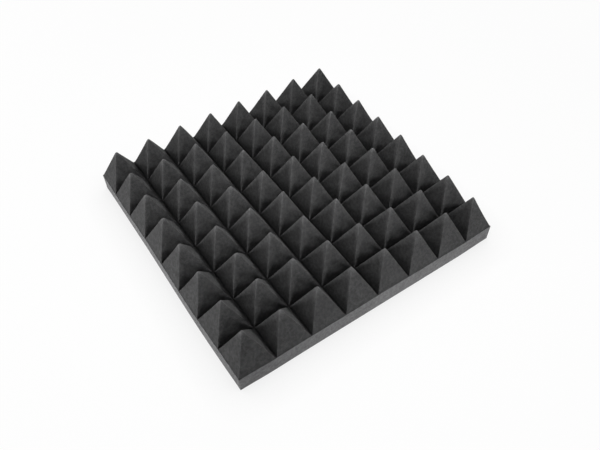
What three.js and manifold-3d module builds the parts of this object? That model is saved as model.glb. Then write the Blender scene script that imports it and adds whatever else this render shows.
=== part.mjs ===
// An acoustic foam panel: open-cell foam with square pyramids cut over its whole face and a flat glue face behind.
// Millimetres, +Z from the glue face towards the room, X and Y along the panel's sides. The origin is the middle
// of the glue face. The rows of pyramids run along X and are counted from the -Y side.
import * as THREE from 'three';
import { mergeVertices } from 'three/addons/utils/BufferGeometryUtils.js';
import Module from 'manifold-3d';

const wasm = await Module();
wasm.setup();

// Driving dimensions
const panelSide = 500;
const pyramidsPerSide = 8;
const pyramidHeight = 61; // from the line of a valley to a rounded tip
const backingHeight = 32; // solid foam from the glue face to the valleys
const footHeight = 6; // the share of that foam that the rows carry under their valleys
const crestRadius = 2; // rounding that the knife leaves on a crest
const valleyRadius = 1; // rounding in a valley
const cutOverrun = 5; // how far a cutting profile runs past the foam

// Steps of one rounded stretch
const crestSteps = 4;
const valleySteps = 3;

// A mesh holds 32-bit numbers, so the shared planes are rounded to them: rows then meet on one exact plane.
const pitch = Math.fround(panelSide / pyramidsPerSide);
const slabHeight = Math.fround(backingHeight - footHeight);
const slabSide = pitch * pyramidsPerSide;

// The slope at which a straight flank is tangent to both the valley's arc and the crest's arc.
function flankAngle() {
  const bothRadii = crestRadius + valleyRadius;
  const halfPitch = pitch / 2;
  const straightRise = pyramidHeight - bothRadii;
  return Math.atan2(straightRise, halfPitch) + Math.asin(bothRadii / Math.hypot(halfPitch, straightRise));
}

// One wave of the cut, from valley to valley, as [distance, height over the foot's underside].
function wavePoints() {
  const slope = flankAngle();
  const points = [[0, footHeight]];
  for (let step = 1; step <= valleySteps; step++) {
    const angle = (slope * step) / valleySteps;
    points.push([valleyRadius * Math.sin(angle), footHeight + valleyRadius * (1 - Math.cos(angle))]);
  }
  for (let step = crestSteps; step > 0; step--) {
    const angle = (slope * step) / crestSteps;
    const drop = crestRadius * (1 - Math.cos(angle));
    points.push([pitch / 2 - crestRadius * Math.sin(angle), footHeight + pyramidHeight - drop]);
  }
  const mirrored = points.map(([distance, height]) => [pitch - distance, height]).reverse();
  return [...points, [pitch / 2, footHeight + pyramidHeight], ...mirrored];
}

// The wave closed along its foot and drawn out straight, past the foam at both ends.
function waveBar() {
  const outline = new THREE.Shape();
  outline.moveTo(0, 0);
  outline.lineTo(pitch, 0);
  for (const [distance, height] of wavePoints().reverse()) {
    outline.lineTo(distance, height);
  }
  outline.closePath();
  const bar = new THREE.ExtrudeGeometry(outline, { depth: pitch + 2 * cutOverrun, bevelEnabled: false });
  return bar.translate(0, 0, -cutOverrun);
}

// The bar's wave stands across Y and its length lies along X.
function barAlongX() {
  const turn = new THREE.Matrix4();
  turn.makeBasis(new THREE.Vector3(0, 1, 0), new THREE.Vector3(0, 0, 1), new THREE.Vector3(1, 0, 0));
  return waveBar().applyMatrix4(turn);
}

// The bar's wave stands across X and its length lies along Y.
function barAlongY() {
  const turn = new THREE.Matrix4();
  turn.makeBasis(new THREE.Vector3(1, 0, 0), new THREE.Vector3(0, 0, 1), new THREE.Vector3(0, -1, 0));
  return waveBar().applyMatrix4(turn).translate(0, pitch, 0);
}

function asSolid(geometry) {
  const bare = geometry.clone();
  bare.deleteAttribute('normal');
  bare.deleteAttribute('uv');
  const merged = mergeVertices(bare);
  return new wasm.Manifold(new wasm.Mesh({
    numProp: 3,
    vertProperties: new Float32Array(merged.attributes.position.array),
    triVerts: new Uint32Array(merged.index.array),
  }));
}

function asGeometry(solid) {
  const { numProp, vertProperties, triVerts } = solid.getMesh();
  const positions = new Float32Array((vertProperties.length / numProp) * 3);
  for (let vertex = 0; vertex * 3 < positions.length; vertex++) {
    positions.set(vertProperties.subarray(vertex * numProp, vertex * numProp + 3), vertex * 3);
  }
  const geometry = new THREE.BufferGeometry();
  geometry.setAttribute('position', new THREE.BufferAttribute(positions, 3));
  geometry.setIndex(new THREE.BufferAttribute(new Uint32Array(triVerts), 1));
  return geometry;
}

// One pyramid on its square of the foot: what two crossed passes of the same wave leave standing.
function pyramidGeometry() {
  return asGeometry(asSolid(barAlongX()).intersect(asSolid(barAlongY())));
}

// A row is one piece of foam, its pyramids joined through the foot under their valleys.
function rowGeometry() {
  const pyramid = pyramidGeometry();
  let row = asSolid(pyramid);
  for (let place = 1; place < pyramidsPerSide; place++) {
    row = row.add(asSolid(pyramid.clone().translate(place * pitch, 0, 0)));
  }
  return asGeometry(row);
}

function foamMaterial() {
  return new THREE.MeshStandardMaterial({ color: '#333436', roughness: 1, metalness: 0 });
}

function addPiece(parent, name, geometry, x, y, z) {
  if (!geometry.attributes.normal) {
    geometry.computeVertexNormals();
  }
  const piece = new THREE.Mesh(geometry, foamMaterial());
  piece.name = name;
  piece.position.set(x, y, z);
  parent.add(piece);
}

const panel = new THREE.Group();
const slab = new THREE.BoxGeometry(slabSide, slabSide, slabHeight);
addPiece(panel, 'backing_slab', slab, 0, 0, slabHeight / 2);

const pyramidRows = new THREE.Group();
pyramidRows.position.set(-slabSide / 2, -slabSide / 2, slabHeight);
panel.add(pyramidRows);
const row = rowGeometry();
for (let place = 0; place < pyramidsPerSide; place++) {
  addPiece(pyramidRows, `pyramid_row_${place + 1}`, row.clone(), 0, place * pitch, 0);
}

export default panel;
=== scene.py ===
import math

import bpy
from mathutils import Matrix, Vector


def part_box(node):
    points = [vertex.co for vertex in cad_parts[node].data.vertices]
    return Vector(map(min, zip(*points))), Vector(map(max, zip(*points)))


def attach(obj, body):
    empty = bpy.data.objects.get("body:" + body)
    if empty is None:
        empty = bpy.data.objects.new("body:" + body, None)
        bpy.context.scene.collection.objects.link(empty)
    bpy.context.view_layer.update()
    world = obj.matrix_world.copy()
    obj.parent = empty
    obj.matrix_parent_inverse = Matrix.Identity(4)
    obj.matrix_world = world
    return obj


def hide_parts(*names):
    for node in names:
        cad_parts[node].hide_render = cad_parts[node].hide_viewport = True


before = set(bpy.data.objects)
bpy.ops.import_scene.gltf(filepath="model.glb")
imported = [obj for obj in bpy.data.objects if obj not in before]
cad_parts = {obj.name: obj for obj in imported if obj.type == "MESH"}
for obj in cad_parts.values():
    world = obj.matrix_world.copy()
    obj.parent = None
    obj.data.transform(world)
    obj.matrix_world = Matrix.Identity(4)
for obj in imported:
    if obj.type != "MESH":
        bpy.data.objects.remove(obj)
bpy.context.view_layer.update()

MM = 0.001

# The panel, as its solids give it
ROW_NODES = sorted(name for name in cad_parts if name.startswith("pyramid_row_"))
SLAB_NODE = "backing_slab"
SLAB_LOW, SLAB_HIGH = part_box(SLAB_NODE)
PANEL_SIDE = SLAB_HIGH.x - SLAB_LOW.x
PITCH = PANEL_SIDE / len(ROW_NODES)
SLAB_TOP = SLAB_HIGH.z
TIP_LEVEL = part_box(ROW_NODES[0])[1].z

# The wave that the knife follows, cut along X and once more along Y
PYRAMID_HEIGHT = 61 * MM
CREST_RADIUS = 2 * MM
VALLEY_RADIUS = 1 * MM
VALLEY_LEVEL = TIP_LEVEL - PYRAMID_HEIGHT

# The ridges between a pyramid's faces: a smooth minimum of both waves rounds them, fully so from a little
# above the valleys. Where the waves are level, as at the tip, it takes a sixth of its blend off.
RIDGE_BLEND = 2 * MM
RIDGE_START = 4 * MM
BLEND_LOSS = RIDGE_BLEND / 6

# How far the foam strays from that shape: each tip's lean at random, the lean that grows from the middle to
# the right side and the other way to the left, slow waves, and a fine grain. The last two start just over the
# glue face.
PYRAMID_LEAN = 1.2 * MM
SIDEWAYS_LEAN = Vector((1.0, -1.0, 0)) * MM
WAVINESS = 0.8 * MM
WAVINESS_LENGTH = 140 * MM
GRAIN = 0.12 * MM
GRAIN_LENGTH = 4 * MM
STRAY_START = 1 * MM
STRAY_FULL = 8 * MM
SEED = 11

# Where the foam is drawn out of square, in mm: the middle of the place, the push there and its reach
PULLS_MM = {
    "front right corner": ((250, -250, 0), (-5.5, 1.5, 0), (80, 80, 1)),
    "left side": ((-250, -110, 0), (-1.8, -3.8, 0), (190, 190, 1)),
    "front left corner": ((-250, -250, 0), (0.4, 1.2, 0), (60, 60, 1)),
    "back side": ((0, 250, 0), (-0.6, -4.0, 0), (600, 45, 1)),
    "right side": ((250, 60, 0), (-0.7, -2.4, 0), (120, 300, 1)),
}

# The fineness of the meshes
STEPS_PER_PITCH = 80
WALL_STEP = 2 * MM
MERGE_DISTANCE = 0.001 * MM
SHARP_ANGLE = math.radians(50)

# Random colours and noise: the middle of their values, and how far most noise swings to either side of it
RANDOM_MIDDLE = 0.5
NOISE_SWING = 0.25

# The foam: the colours of its knife-cut faces and straight-cut sides, and of the painted highlight on its
# ridges
FACE_COLOUR = (0.0700, 0.0699, 0.0706, 1)
SIDE_COLOUR = (0.2060, 0.2057, 0.2083, 1)
RIDGE_HIGHLIGHT_COLOUR = (0.1644, 0.1642, 0.1660, 1)
ROUGHNESS = 1.0
SPECULAR_LEVEL = 0.15

# Its open cells, with painted shade in their pits, and the blotches of its tone
CELL_SIZE = 1.25 * MM
STRUT_SHARE = 0.35
PIT_PAINTED_SHADE = 0.45
CELL_RELIEF = 0.25 * MM
CELL_RELIEF_STRENGTH = 0.6
MOTTLE = 0.08
MOTTLE_LENGTH = 22 * MM
MOTTLE_DETAIL = 3.0
SPECKLE = 0.18
SPECKLE_LENGTH = 5 * MM
SPECKLE_DETAIL = 1.0

# The painted highlights on the ridges and tips, and the painted shade in the valleys
RIDGE_HIGHLIGHT_STRENGTH = 0.21
RIDGE_WIDTH = 6 * MM
TIP_HIGHLIGHT_STRENGTH = 0.85
TIP_SHARPNESS = 8
VALLEY_PAINTED_SHADE = 0.6
VALLEY_WIDTH = 4.5 * MM

# The camera: its place, and the way it looks, turned from +X towards +Y, dipped and rolled
CAMERA_PLACE = Vector((-0.3843, -0.6224, 0.8121))
CAMERA_HEADING = math.radians(56.90)
CAMERA_DIP = math.radians(49.37)
CAMERA_ROLL = math.radians(1.37)
PHOTO_WIDTH_PX = 600
FOCAL_LENGTH_PX = 602.2
SENSOR_WIDTH_MM = 36

# The floor: what lights the panel's sides, what is seen, and the shadow at the panel's foot
FLOOR_SIDE = 12.0
FLOOR_GAP = 0.1 * MM
FLOOR_COLOUR = (0.9, 0.9, 0.9, 1)
WHITE = (1, 1, 1, 1)
FLOOR_WHITENESS = 0.97
FLOOR_SHADOW = 0.25
FLOOR_SHADOW_REACH = 60 * MM
FLOOR_SHADOW_SAMPLES = 4

# The world and the lamps. All lamps aim at the origin, and a spot's light ends at its reach from there.
WORLD_COLOUR = (0.063, 0.063, 0.063, 1)
PANEL_LIGHT_SIDE = 0.9
SPOT_RADIUS = 0.35
SPOT_REACH = 0.42
SPOT_BLEND = 1.0
# Name, kind, place and power in watts
LIGHTS = (
    ("left_back_light", "AREA", Vector((-1.2, 1.2, 0.9)), 17.5),
    ("left_spot", "SPOT", Vector((-1.9, 0.0, 0.45)), 147),
    ("right_back_spot", "SPOT", Vector((1.2, 1.2, 0.9)), 141),
    ("right_front_spot", "SPOT", Vector((1.2, -1.2, 0.9)), 123),
    ("front_spot", "SPOT", Vector((0.0, -1.7, 0.9)), 86),
)


class Value:
    """A number inside a node tree. Arithmetic on it adds Math nodes."""

    def __init__(self, tree, socket):
        self.tree = tree
        self.socket = socket

    def __add__(self, other):
        return self.tree.math("ADD", self, other)

    def __sub__(self, other):
        return self.tree.math("SUBTRACT", self, other)

    def __rsub__(self, other):
        return self.tree.math("SUBTRACT", other, self)

    def __mul__(self, other):
        return self.tree.math("MULTIPLY", self, other)

    def __truediv__(self, other):
        return self.tree.math("DIVIDE", self, other)

    def __rtruediv__(self, other):
        return self.tree.math("DIVIDE", other, self)


class Tree:
    """Fills a node tree. An input takes a number, a vector, a datablock, a Value, a socket or a node."""

    def __init__(self, tree):
        self.nodes = tree.nodes
        self.links = tree.links

    @staticmethod
    def pick(sockets, name):
        return next(socket for socket in sockets if name in (socket.identifier, socket.name))

    def fill(self, socket, value):
        if isinstance(value, Value):
            value = value.socket
        if isinstance(value, bpy.types.Node):
            value = value.outputs[0]
        if isinstance(value, bpy.types.NodeSocket):
            self.links.new(value, socket)
        else:
            socket.default_value = value

    def add(self, kind, inputs=None, **settings):
        node = self.nodes.new(kind)
        for name, value in settings.items():
            setattr(node, name, value)
        for name, value in (inputs or {}).items():
            self.fill(self.pick(node.inputs, name), value)
        return node

    def value(self, node, name):
        return Value(self, self.pick(node.outputs, name))

    def math(self, operation, *values):
        node = self.add("ShaderNodeMath", operation=operation)
        for socket, value in zip(node.inputs, values):
            self.fill(socket, value)
        return Value(self, node.outputs[0])

    def vector_math(self, operation, *values):
        node = self.add("ShaderNodeVectorMath", operation=operation)
        for socket, value in zip(node.inputs, values):
            self.fill(socket, value)
        return node

    def scaled(self, vector, factor):
        return self.add("ShaderNodeVectorMath", {"Vector": vector, "Scale": factor}, operation="SCALE")

    def ramp(self, value, low, high):
        """0 below low, 1 above high, and smooth between them."""
        inputs = {"Value": value, "From Min": low, "From Max": high}
        node = self.add("ShaderNodeMapRange", inputs, interpolation_type="SMOOTHSTEP")
        return self.value(node, "Result")

    def axes(self, vector):
        parts = self.add("ShaderNodeSeparateXYZ", {"Vector": vector})
        return [self.value(parts, axis) for axis in "XYZ"]

    def mixed(self, share, first, second):
        """The first colour at a share of 0, the second at 1."""
        inputs = {"Factor_Float": share, "A_Color": first, "B_Color": second}
        return self.pick(self.add("ShaderNodeMix", inputs, data_type="RGBA").outputs, "Result_Color")


def node_group(kind, name, inputs, outputs):
    """An empty group, its named inputs as Values, and the sockets of its named outputs."""
    group = bpy.data.node_groups.new(name, kind)
    for label, socket_type in inputs.items():
        group.interface.new_socket(label, in_out="INPUT", socket_type=socket_type)
    for label, socket_type in outputs.items():
        group.interface.new_socket(label, in_out="OUTPUT", socket_type=socket_type)
    tree = Tree(group)
    given = tree.add("NodeGroupInput")
    results = tree.add("NodeGroupOutput")
    return group, tree, {label: tree.value(given, label) for label in inputs}, results.inputs


FLOAT = "NodeSocketFloat"
INTEGER = "NodeSocketInt"
VECTOR = "NodeSocketVector"
GEOMETRY = "NodeSocketGeometry"
MATERIAL = "NodeSocketMaterial"


def knife_wave_group():
    """The height over the valleys that the knife leaves, at a distance across its wave from a valley."""
    inputs = {label: FLOAT for label in ("Distance", "Pitch", "Height", "Crest Radius", "Valley Radius")}
    group, tree, given, results = node_group("GeometryNodeTree", "Knife Wave", inputs, {"Level": FLOAT})
    height = given["Height"]
    crest = given["Crest Radius"]
    valley = given["Valley Radius"]
    half = given["Pitch"] * 0.5
    from_valley = tree.math("PINGPONG", given["Distance"], half)
    from_crest = half - from_valley

    radii = crest + valley
    rise = height - radii
    reach = tree.math("SQRT", half * half + rise * rise)
    slope = tree.math("ARCTAN2", rise, half) + tree.math("ARCSINE", radii / reach)
    sine = tree.math("SINE", slope)
    valley_end = valley * sine
    crest_end = crest * sine

    in_valley = tree.math("MINIMUM", from_valley, valley_end)
    valley_arc = valley - tree.math("SQRT", valley * valley - in_valley * in_valley)
    in_crest = tree.math("MINIMUM", from_crest, crest_end)
    crest_arc = height - crest + tree.math("SQRT", crest * crest - in_crest * in_crest)
    flank_foot = valley * (1.0 - tree.math("COSINE", slope))
    flank = flank_foot + (from_valley - valley_end) * tree.math("TANGENT", slope)

    def either(test, otherwise, then):
        inputs = {"Switch": test, "False": otherwise, "True": then}
        return tree.value(tree.add("GeometryNodeSwitch", inputs, input_type="FLOAT"), "Output")

    below_crest = either(tree.math("LESS_THAN", from_valley, valley_end), flank, valley_arc)
    level = either(tree.math("LESS_THAN", from_crest, crest_end), below_crest, crest_arc)
    tree.fill(results["Level"], level)
    return group


def foam_stray_group():
    """How far foam strays from its drawn place: slow waves and a fine grain, and none on the glue face."""
    lengths = ("Waviness", "Waviness Length", "Grain", "Grain Length", "Stray Start", "Stray Full", "Seed")
    inputs = {label: FLOAT for label in lengths}
    group, tree, given, results = node_group("GeometryNodeTree", "Foam Stray", inputs, {"Offset": VECTOR})
    place = tree.add("GeometryNodeInputPosition")

    def noise(length, reach):
        inputs = {"Vector": place, "W": given["Seed"], "Scale": 1.0 / length}
        colour = tree.pick(tree.add("ShaderNodeTexNoise", inputs, noise_dimensions="4D").outputs, "Color")
        centred = tree.vector_math("SUBTRACT", colour, (RANDOM_MIDDLE,) * 3)
        return tree.scaled(centred, reach / NOISE_SWING)

    waves = noise(given["Waviness Length"], given["Waviness"])
    grain = noise(given["Grain Length"], given["Grain"])
    free = tree.ramp(tree.axes(place)[2], given["Stray Start"], given["Stray Full"])
    tree.fill(results["Offset"], tree.scaled(tree.vector_math("ADD", waves, grain), free))
    return group


def foam_pull_group():
    """A push of the foam to one side that is full at one place of the panel and fades away about it."""
    inputs = {"Middle": VECTOR, "Push": VECTOR, "Reach": VECTOR}
    group, tree, given, results = node_group("GeometryNodeTree", "Foam Pull", inputs, {"Offset": VECTOR})
    place = tree.vector_math("MULTIPLY", tree.add("GeometryNodeInputPosition"), (1, 1, 0))
    apart = tree.vector_math("DIVIDE", tree.vector_math("SUBTRACT", place, given["Middle"]), given["Reach"])
    fade = 1.0 - tree.ramp(tree.value(tree.vector_math("LENGTH", apart), "Value"), 0.0, 1.0)
    tree.fill(results["Offset"], tree.scaled(given["Push"], fade))
    return group


def foam_block_group():
    """Closes an open sheet of foam with walls straight down from its border and a flat underside.
    The walls and the underside are marked as sawn."""
    inputs = {"Sheet": GEOMETRY, "Depth": FLOAT, "Underside": FLOAT, "Wall Steps": INTEGER,
              "Merge Distance": FLOAT, "Sharp Angle": FLOAT, "Finish": MATERIAL}
    group, tree, given, results = node_group("GeometryNodeTree", "Foam Block", inputs, {"Block": GEOMETRY})

    def border():
        faces = tree.value(tree.add("GeometryNodeInputMeshEdgeNeighbors"), "Face Count")
        inputs = {"A_INT": faces, "B_INT": 1}
        return tree.add("FunctionNodeCompare", inputs, data_type="INT", operation="EQUAL")

    def sawn(mesh, share, faces=True):
        inputs = {"Geometry": mesh, "Selection": faces, "Name": "sawn", "Value": share}
        return tree.add("GeometryNodeStoreNamedAttribute", inputs, data_type="FLOAT", domain="FACE")

    start = tree.add("GeometryNodeRepeatInput")
    end = tree.add("GeometryNodeRepeatOutput")
    start.pair_with_output(end)
    tree.fill(tree.pick(start.inputs, "Iterations"), given["Wall Steps"])
    tree.fill(tree.pick(start.inputs, "Geometry"), sawn(given["Sheet"], 0.0))
    step = given["Depth"] / given["Wall Steps"] * -1.0
    inputs = {"Mesh": tree.value(start, "Geometry"), "Selection": border(),
              "Offset": tree.add("ShaderNodeCombineXYZ", {"Z": step}), "Offset Scale": 1.0}
    wall = tree.add("GeometryNodeExtrudeMesh", inputs, mode="EDGES")
    marked = sawn(tree.value(wall, "Mesh"), 1.0, tree.value(wall, "Side"))
    tree.fill(tree.pick(end.inputs, "Geometry"), marked)
    walled = tree.value(end, "Geometry")

    rim = tree.add("GeometryNodeMeshToCurve", {"Mesh": walled, "Selection": border()})
    cap = tree.add("GeometryNodeFillCurve", {"Curve": rim}, mode="TRIANGLES")
    x, y, z = tree.axes(tree.add("GeometryNodeInputPosition"))
    flat = tree.add("ShaderNodeCombineXYZ", {"X": x, "Y": y, "Z": given["Underside"]})
    cap = tree.add("GeometryNodeSetPosition", {"Geometry": cap, "Position": flat})
    cap = sawn(tree.add("GeometryNodeFlipFaces", {"Mesh": cap}), 1.0)

    both = tree.add("GeometryNodeJoinGeometry")
    tree.fill(both.inputs["Geometry"], cap)
    tree.fill(both.inputs["Geometry"], walled)
    block = tree.add("GeometryNodeMergeByDistance", {"Geometry": both, "Distance": given["Merge Distance"]})
    block = tree.add("GeometryNodeTriangulate", {"Mesh": block}, quad_method="LONGEST_DIAGONAL")
    block = tree.add("GeometryNodeSetShadeSmooth", {"Geometry": block, "Shade Smooth": True})
    angle = tree.value(tree.add("GeometryNodeInputMeshEdgeAngle"), "Unsigned Angle")
    sharp = tree.math("GREATER_THAN", angle, given["Sharp Angle"])
    inputs = {"Geometry": block, "Selection": sharp, "Shade Smooth": False}
    block = tree.add("GeometryNodeSetShadeSmooth", inputs, domain="EDGE")
    block = tree.add("GeometryNodeSetMaterial", {"Geometry": block, "Material": given["Finish"]})
    tree.fill(results["Block"], tree.add("GeometryNodeRealizeInstances", {"Geometry": block}))
    return group


def use_group(tree, group, inputs):
    """A group placed in a tree."""
    node = tree.add("GeometryNodeGroup" if group.bl_idname == "GeometryNodeTree" else "ShaderNodeGroup")
    node.node_tree = group
    for name, value in inputs.items():
        tree.fill(node.inputs[name], value)
    return node


STRAY_SIZES = {"Waviness": WAVINESS, "Waviness Length": WAVINESS_LENGTH, "Grain": GRAIN,
               "Grain Length": GRAIN_LENGTH, "Stray Start": STRAY_START, "Stray Full": STRAY_FULL,
               "Seed": SEED}
BLOCK_SIZES = {"Merge Distance": MERGE_DISTANCE, "Sharp Angle": SHARP_ANGLE}


def stray_and_close(tree, sheet, given, groups, depth, underside):
    """The sheet closed to a block, with every point then moved as far as the foam strays or is pulled."""
    sizes = {label: given[label] for label in BLOCK_SIZES}
    steps = tree.math("MAXIMUM", tree.math("ROUND", depth / given["Wall Step"]), 1.0)
    closed = use_group(tree, groups["block"], {"Sheet": sheet, "Depth": depth, "Underside": underside,
                                               "Wall Steps": steps, "Finish": given["Finish"], **sizes})
    offset = use_group(tree, groups["stray"], {label: given[label] for label in STRAY_SIZES})
    for pull in PULLS_MM.values():
        middle, push, reach = [Vector(amount) * MM for amount in pull]
        inputs = {"Middle": middle, "Push": push, "Reach": reach}
        offset = tree.vector_math("ADD", offset, use_group(tree, groups["pull"], inputs))
    return tree.add("GeometryNodeSetPosition", {"Geometry": closed, "Offset": offset})


def pyramid_row_tree(groups):
    """A row of pyramids along X, with the foam under their valleys. Its points know how near they are to a
    ridge and to a valley, and their rise from valley to tip."""
    sizes = ("Pitch", "Pyramids", "Row Middle", "Valley Level", "Underside", "Height", "Crest Radius",
             "Valley Radius", "Ridge Blend", "Ridge Start", "Ridge Width", "Valley Width", "Lean",
             "Steps per Pitch", "Wall Step")
    inputs = {label: FLOAT for label in (*sizes, *STRAY_SIZES, *BLOCK_SIZES)}
    inputs.update({"Sideways Lean": VECTOR, "Finish": MATERIAL})
    group, tree, given, results = node_group("GeometryNodeTree", "Pyramid Row", inputs, {"Row": GEOMETRY})
    pitch = given["Pitch"]
    steps = given["Steps per Pitch"]
    side = pitch * given["Pyramids"]
    inputs = {"Size X": side, "Size Y": pitch, "Vertices X": steps * given["Pyramids"] + 1.0,
              "Vertices Y": steps + 1.0}
    grid = tree.add("GeometryNodeMeshGrid", inputs)
    base = tree.add("ShaderNodeCombineXYZ", {"Y": given["Row Middle"], "Z": given["Valley Level"]})
    sheet = tree.add("GeometryNodeSetPosition", {"Geometry": grid, "Offset": base})

    x, y, z = tree.axes(tree.add("GeometryNodeInputPosition"))
    profile = {label: given[label] for label in ("Pitch", "Height", "Crest Radius", "Valley Radius")}
    half_side = side * 0.5
    along = x + half_side
    across = y + half_side
    wave_along = tree.value(use_group(tree, groups["wave"], {"Distance": along, **profile}), "Level")
    wave_across = tree.value(use_group(tree, groups["wave"], {"Distance": across, **profile}), "Level")
    lower = tree.math("MINIMUM", wave_along, wave_across)
    free = tree.ramp(lower, 0.0, given["Ridge Start"])
    level = tree.math("SMOOTH_MIN", wave_along, wave_across, given["Ridge Blend"] * free)
    share = level / given["Height"]

    cell = tree.add("ShaderNodeCombineXYZ", {"X": tree.math("FLOOR", along / pitch),
                                             "Y": tree.math("FLOOR", across / pitch), "Z": given["Seed"]})
    random = tree.pick(tree.add("ShaderNodeTexWhiteNoise", {"Vector": cell}).outputs, "Color")
    centred = tree.vector_math("SUBTRACT", random, (RANDOM_MIDDLE,) * 3)
    lean = tree.scaled(centred, given["Lean"] / RANDOM_MIDDLE)
    sideways = tree.scaled(given["Sideways Lean"], x / half_side)
    lean = tree.scaled(tree.vector_math("ADD", lean, sideways), share * share)
    raised = tree.vector_math("ADD", tree.add("ShaderNodeCombineXYZ", {"Z": level}), lean)

    # A mask for the painted highlight along the ridges
    apart = tree.math("ABSOLUTE", wave_along - wave_across)
    ridge = (1.0 - tree.ramp(apart, 0.0, given["Ridge Width"])) * free
    # A mask for the painted shade in the valleys, which fades out towards the panel's border
    from_border = half_side - tree.math("MAXIMUM", tree.math("ABSOLUTE", x), tree.math("ABSOLUTE", y))
    enclosed = tree.ramp(from_border, 0.0, given["Valley Width"])
    valley = (1.0 - tree.ramp(lower, 0.0, given["Valley Width"])) * enclosed
    for label, amount in (("ridge", ridge), ("rise", share), ("valley", valley)):
        inputs = {"Geometry": sheet, "Name": label, "Value": amount}
        sheet = tree.add("GeometryNodeStoreNamedAttribute", inputs, data_type="FLOAT", domain="POINT")
    sheet = tree.add("GeometryNodeSetPosition", {"Geometry": sheet, "Offset": raised})
    depth = given["Valley Level"] - given["Underside"]
    tree.fill(results["Row"], stray_and_close(tree, sheet, given, groups, depth, given["Underside"]))
    return group


def backing_slab_tree(groups):
    """The uncut foam under the rows, a plain block with its border stepped as the rows' is."""
    sizes = ("Side", "Top", "Border Steps", "Wall Step")
    inputs = {label: FLOAT for label in (*sizes, *STRAY_SIZES, *BLOCK_SIZES)}
    inputs["Finish"] = MATERIAL
    group, tree, given, results = node_group("GeometryNodeTree", "Backing Slab", inputs, {"Slab": GEOMETRY})
    inputs = {"Width": given["Side"], "Height": given["Side"]}
    outline = tree.add("GeometryNodeCurvePrimitiveQuadrilateral", inputs)
    outline = tree.add("GeometryNodeResampleCurve", {"Curve": outline, "Count": given["Border Steps"]})
    sheet = tree.add("GeometryNodeFillCurve", {"Curve": outline}, mode="TRIANGLES")
    top = tree.add("ShaderNodeCombineXYZ", {"Z": given["Top"]})
    sheet = tree.add("GeometryNodeSetPosition", {"Geometry": sheet, "Offset": top})
    tree.fill(results["Slab"], stray_and_close(tree, sheet, given, groups, given["Top"], 0.0))
    return group


def grown_piece(name, group, sizes):
    """A plain mesh object of what a geometry node tree makes with these sizes."""
    empty = bpy.data.meshes.new(name + "_empty")
    maker = bpy.data.objects.new(name + "_maker", empty)
    bpy.context.scene.collection.objects.link(maker)
    modifier = maker.modifiers.new("Foam", "NODES")
    modifier.node_group = group
    for item in group.interface.items_tree:
        if item.in_out == "INPUT" and item.name in sizes:
            modifier[item.identifier] = sizes[item.name]
    depsgraph = bpy.context.evaluated_depsgraph_get()
    mesh = bpy.data.meshes.new_from_object(maker.evaluated_get(depsgraph), depsgraph=depsgraph)
    bpy.data.objects.remove(maker)
    bpy.data.meshes.remove(empty)
    mesh.name = name
    while mesh.materials and mesh.materials[0] is None:
        mesh.materials.pop(index=0)
    piece = bpy.data.objects.new(name, mesh)
    bpy.context.scene.collection.objects.link(piece)
    return piece


def open_cells_group():
    """Open-cell foam close up, pits between thin struts: a mask that is 1 in a pit, and a height."""
    inputs = {"Vector": VECTOR, "Cell Size": FLOAT, "Strut Share": FLOAT}
    outputs = {"Pit": FLOAT, "Height": FLOAT}
    group, tree, given, results = node_group("ShaderNodeTree", "Open Cells", inputs, outputs)
    inputs = {"Vector": given["Vector"], "Scale": 1.0 / given["Cell Size"]}
    cells = tree.add("ShaderNodeTexVoronoi", inputs, feature="DISTANCE_TO_EDGE")
    pit = tree.ramp(tree.value(cells, "Distance"), 0.0, given["Strut Share"])
    tree.fill(results["Pit"], pit)
    tree.fill(results["Height"], 1.0 - pit)
    return group


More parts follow.
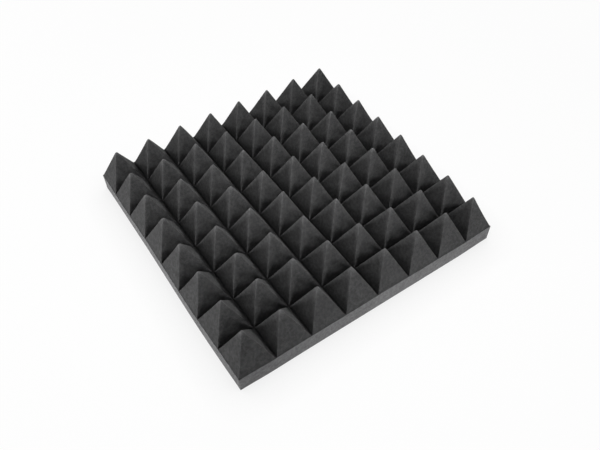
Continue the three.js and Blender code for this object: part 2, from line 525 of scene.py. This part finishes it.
def foam_material(open_cells):
    """Charcoal polyurethane foam of open cells: dark knife-cut faces with lighter straight-cut sides, painted
    shade in the valleys and in the cells' pits, and painted highlights on the ridges and tips."""
    material = bpy.data.materials.new("charcoal_foam")
    material.use_nodes = True
    tree = Tree(material.node_tree)
    surface = next(node for node in tree.nodes if node.type == "BSDF_PRINCIPLED")
    place = tree.pick(tree.add("ShaderNodeTexCoord").outputs, "Object")

    def attribute(name):
        return tree.value(tree.add("ShaderNodeAttribute", attribute_name=name), "Fac")

    def blotches(strength, length, detail):
        """1, give or take the strength, in blotches of about this length."""
        inputs = {"Vector": place, "Scale": 1 / length, "Detail": detail}
        noise = tree.value(tree.add("ShaderNodeTexNoise", inputs), "Fac")
        share = tree.ramp(noise, RANDOM_MIDDLE - NOISE_SWING, RANDOM_MIDDLE + NOISE_SWING)
        return share * (2 * strength) + (1 - strength)

    colour = tree.mixed(attribute("sawn"), FACE_COLOUR, SIDE_COLOUR)
    # Painted highlight along the ridges, strongest near the tips and fading towards the valleys
    ridge_highlight = attribute("ridge") * attribute("rise") * RIDGE_HIGHLIGHT_STRENGTH
    colour = tree.mixed(ridge_highlight, colour, RIDGE_HIGHLIGHT_COLOUR)
    sizes = {"Vector": place, "Cell Size": CELL_SIZE, "Strut Share": STRUT_SHARE}
    cells = use_group(tree, open_cells, sizes)
    # Painted shade in the pits between the cells' struts
    shade = 1.0 - tree.value(cells, "Pit") * PIT_PAINTED_SHADE
    shade = shade * blotches(MOTTLE, MOTTLE_LENGTH, MOTTLE_DETAIL)
    shade = shade * blotches(SPECKLE, SPECKLE_LENGTH, SPECKLE_DETAIL)
    # Painted highlight at the tips, rising steeply towards each tip
    shade = shade * (tree.math("POWER", attribute("rise"), TIP_SHARPNESS) * TIP_HIGHLIGHT_STRENGTH + 1.0)
    # Painted shade in the valleys between the pyramids
    shade = shade * (1.0 - attribute("valley") * VALLEY_PAINTED_SHADE)
    tree.fill(surface.inputs["Base Color"], tree.scaled(colour, shade))
    relief = {"Height": tree.value(cells, "Height"), "Distance": CELL_RELIEF,
              "Strength": CELL_RELIEF_STRENGTH}
    tree.fill(surface.inputs["Normal"], tree.add("ShaderNodeBump", relief))
    surface.inputs["Roughness"].default_value = ROUGHNESS
    surface.inputs["Specular IOR Level"].default_value = SPECULAR_LEVEL
    return material


def seen_ray(tree):
    """1 where the camera sees a surface itself, in a mirror or through glass."""
    path = tree.add("ShaderNodeLightPath")
    seen = tree.value(path, "Is Camera Ray")
    for name in ("Is Glossy Ray", "Is Transmission Ray"):
        seen = tree.math("MAXIMUM", seen, tree.value(path, name))
    return seen


def floor_material():
    """A pale floor that lights the panel's sides as it is lit itself. It is seen nearly pure white, with
    the soft shadow that an even sky leaves at the panel's foot."""
    material = bpy.data.materials.new("studio_floor")
    material.use_nodes = True
    tree = Tree(material.node_tree)
    tree.nodes.clear()
    matt = tree.add("ShaderNodeBsdfDiffuse", {"Color": FLOOR_COLOUR})
    inputs = {"Distance": FLOOR_SHADOW_REACH}
    sky = tree.add("ShaderNodeAmbientOcclusion", inputs, samples=FLOOR_SHADOW_SAMPLES)
    strength = tree.value(sky, "AO") * FLOOR_SHADOW + (1 - FLOOR_SHADOW)
    white = tree.add("ShaderNodeEmission", {"Color": WHITE, "Strength": strength})
    mix = tree.add("ShaderNodeMixShader")
    for socket, value in zip(mix.inputs, (seen_ray(tree) * FLOOR_WHITENESS, matt, white)):
        tree.fill(socket, value)
    tree.add("ShaderNodeOutputMaterial", {"Surface": mix})
    return material


def make_floor():
    half = FLOOR_SIDE / 2
    around = ((-half, -half), (half, -half), (half, half), (-half, half))
    corners = [(x, y, -FLOOR_GAP) for x, y in around]
    mesh = bpy.data.meshes.new("floor")
    mesh.from_pydata(corners, [], [(0, 1, 2, 3)])
    mesh.materials.append(floor_material())
    floor = bpy.data.objects.new("floor", mesh)
    bpy.context.scene.collection.objects.link(floor)


def make_world():
    """An even light from all round, seen as white."""
    world = bpy.data.worlds.new("studio")
    world.use_nodes = True
    tree = Tree(world.node_tree)
    tree.nodes.clear()
    sky = tree.add("ShaderNodeBackground", {"Color": tree.mixed(seen_ray(tree), WORLD_COLOUR, WHITE)})
    tree.add("ShaderNodeOutputWorld", {"Surface": sky})
    bpy.context.scene.world = world


def make_lights():
    for name, kind, place, power in LIGHTS:
        lamp = bpy.data.lights.new(name, kind)
        lamp.energy = power
        if kind == "SPOT":
            lamp.shadow_soft_size = SPOT_RADIUS
            lamp.spot_size = 2 * math.atan2(SPOT_REACH, place.length)
            lamp.spot_blend = SPOT_BLEND
        else:
            lamp.shape = "SQUARE"
            lamp.size = PANEL_LIGHT_SIDE
        light = bpy.data.objects.new(name, lamp)
        light.location = place
        light.rotation_euler = (-place).to_track_quat("-Z", "Y").to_euler()
        bpy.context.scene.collection.objects.link(light)


def make_camera():
    data = bpy.data.cameras.new("camera")
    data.sensor_width = SENSOR_WIDTH_MM
    data.lens = FOCAL_LENGTH_PX / PHOTO_WIDTH_PX * SENSOR_WIDTH_MM
    camera = bpy.data.objects.new("camera", data)
    bpy.context.scene.collection.objects.link(camera)
    level = Vector((math.cos(CAMERA_HEADING), math.sin(CAMERA_HEADING), 0))
    forward = level * math.cos(CAMERA_DIP) - Vector((0, 0, math.sin(CAMERA_DIP)))
    right = Vector((level.y, -level.x, 0))
    right.rotate(Matrix.Rotation(CAMERA_ROLL, 3, forward))
    turn = Matrix((right, right.cross(forward), -forward)).transposed()
    camera.matrix_world = Matrix.Translation(CAMERA_PLACE) @ turn.to_4x4()
    bpy.context.scene.camera = camera


def make_panel():
    """The backing slab and the rows of pyramids, each in the place of its plain solid."""
    groups = {"wave": knife_wave_group(), "stray": foam_stray_group(), "pull": foam_pull_group(),
              "block": foam_block_group()}
    foam = foam_material(open_cells_group())
    common = {"Wall Step": WALL_STEP, "Finish": foam, **STRAY_SIZES, **BLOCK_SIZES}

    slab_tree = backing_slab_tree(groups)
    border_steps = 4.0 * len(ROW_NODES) * STEPS_PER_PITCH
    sizes = {"Side": PANEL_SIDE, "Top": SLAB_TOP, "Border Steps": border_steps, **common}
    pieces = {SLAB_NODE: grown_piece("foam_slab", slab_tree, sizes)}

    row_tree = pyramid_row_tree(groups)
    sizes = {
        "Pitch": PITCH, "Pyramids": float(len(ROW_NODES)), "Steps per Pitch": float(STEPS_PER_PITCH),
        "Valley Level": VALLEY_LEVEL, "Underside": SLAB_TOP, "Height": PYRAMID_HEIGHT + BLEND_LOSS,
        "Crest Radius": CREST_RADIUS, "Valley Radius": VALLEY_RADIUS, "Valley Width": VALLEY_WIDTH,
        "Ridge Blend": RIDGE_BLEND, "Ridge Start": RIDGE_START, "Ridge Width": RIDGE_WIDTH,
        "Lean": PYRAMID_LEAN, "Sideways Lean": SIDEWAYS_LEAN, **common,
    }
    for node in ROW_NODES:
        low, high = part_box(node)
        number = node.rsplit("_", 1)[1]
        row_sizes = {"Row Middle": (low.y + high.y) / 2, **sizes}
        pieces[node] = grown_piece("foam_row_" + number, row_tree, row_sizes)

    for node, piece in pieces.items():
        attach(piece, "root")
        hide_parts(node)


make_panel()
make_floor()
make_world()
make_lights()
make_camera()
bpy.context.scene.view_settings.view_transform = "Standard"
